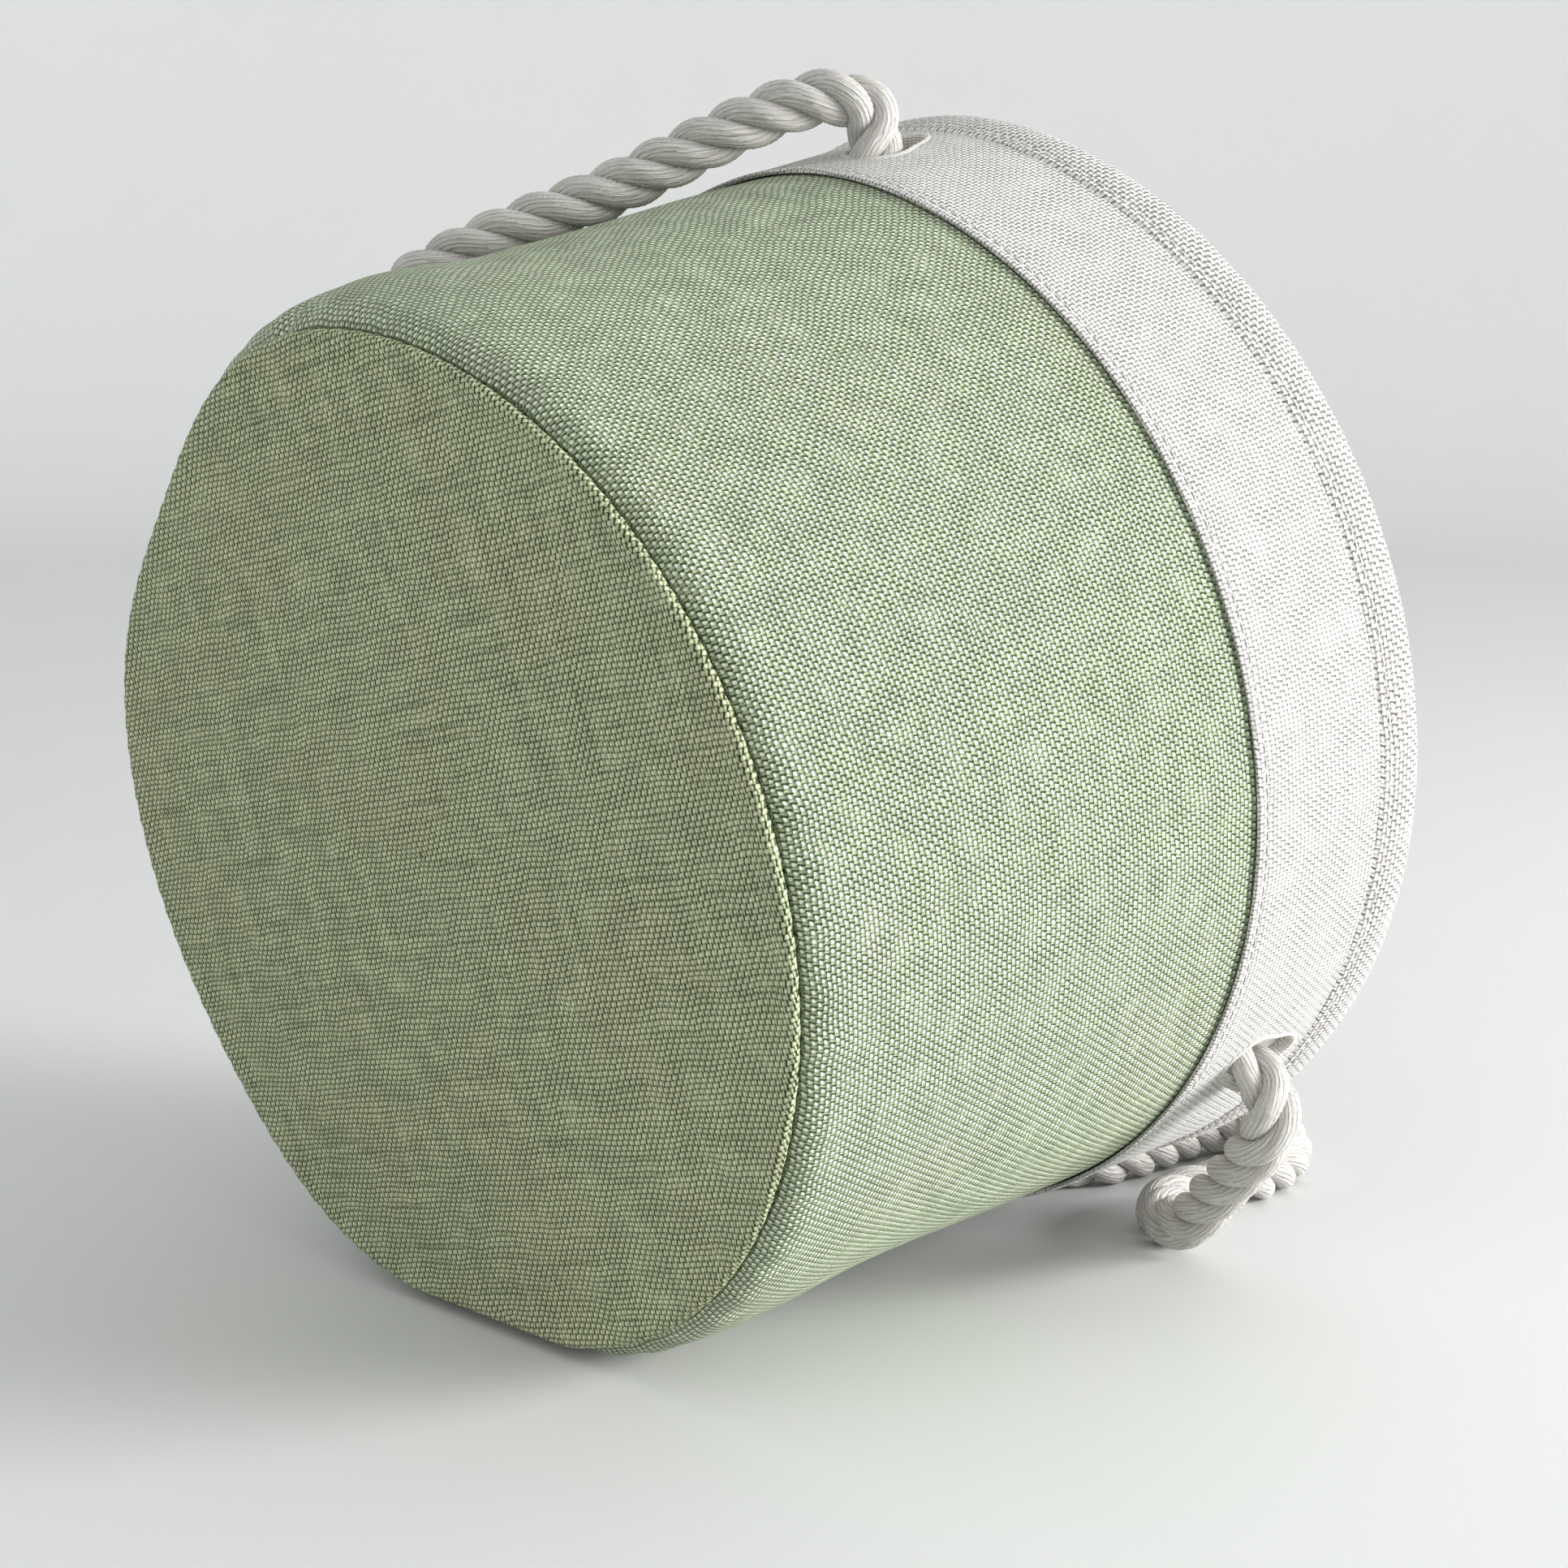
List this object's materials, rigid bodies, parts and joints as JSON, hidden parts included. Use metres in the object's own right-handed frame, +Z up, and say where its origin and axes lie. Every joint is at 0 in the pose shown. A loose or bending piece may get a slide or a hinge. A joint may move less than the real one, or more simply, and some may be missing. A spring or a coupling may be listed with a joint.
{
  "type": "fabric storage bin",
  "caption": "Round soft-sided storage bin lying on its side, with a canvas cuff round the mouth and twisted rope handles knotted through slits.",
  "frame": {"origin": "on the floor, under the middle of the bin's own box; the bin lies on its side, propped on one rope handle", "axes": "+Z up, +X from the base towards the mouth along the floor, +Y across; the bin's own axis rises 9.5 degrees from +X, so turning it about Y by 80.5 degrees, mouth up, stands the bin upright"},
  "size_m": [0.2647, 0.2532, 0.2662],
  "materials": {
    "sage_cloth": "woven, slubby, matt",
    "cream_canvas": "woven, matt",
    "lining_cloth": "fine plain weave, matt",
    "stiffener": "pressed felt board",
    "sewing_thread": "spun thread",
    "green_thread": "spun thread",
    "cotton_rope": "soft three-strand twist"
  },
  "bodies": {
    "bin": {"wall_fabric_near": "sage_cloth", "wall_fabric_far": "sage_cloth", "base_fabric": "sage_cloth", "base_seam_thread": "green_thread", "wall_board": "stiffener", "base_board": "stiffener", "lining_wall": "lining_cloth", "lining_base": "lining_cloth", "cuff_band": "cream_canvas", "cuff_thread": "sewing_thread", "rim_binding": "cream_canvas", "rim_thread": "sewing_thread", "slit_edging_upper_near": "cream_canvas", "slit_edging_upper_far": "cream_canvas", "slit_edging_lower_near": "cream_canvas", "slit_edging_lower_under": "cream_canvas", "rope_end_upper_near": "cotton_rope", "knot_upper_near": "cotton_rope", "rope_end_upper_far": "cotton_rope", "knot_upper_far": "cotton_rope", "rope_end_lower_near": "cotton_rope", "knot_lower_near": "cotton_rope", "rope_run_lower_under": "cotton_rope", "knot_lower_under": "cotton_rope"},
    "upper_handle": {"rope_handle_upper": "cotton_rope"},
    "lower_handle": {"rope_handle_lower": "cotton_rope"}
  },
  "joints": [
    {"name": "upper_handle_swing", "type": "hinge", "parent": "bin", "child": "upper_handle", "pos_m": [0.03472, 0.03848, 0.23528], "axis": [0.059, 0.9339, -0.3526], "range_deg": [0, 116]},
    {"name": "lower_handle_swing", "type": "hinge", "parent": "bin", "child": "lower_handle", "pos_m": [0.1254, -0.021, 0.0061], "axis": [-0.5416, -0.7371, 0.4041], "range_deg": [0, 85]}
  ]
}
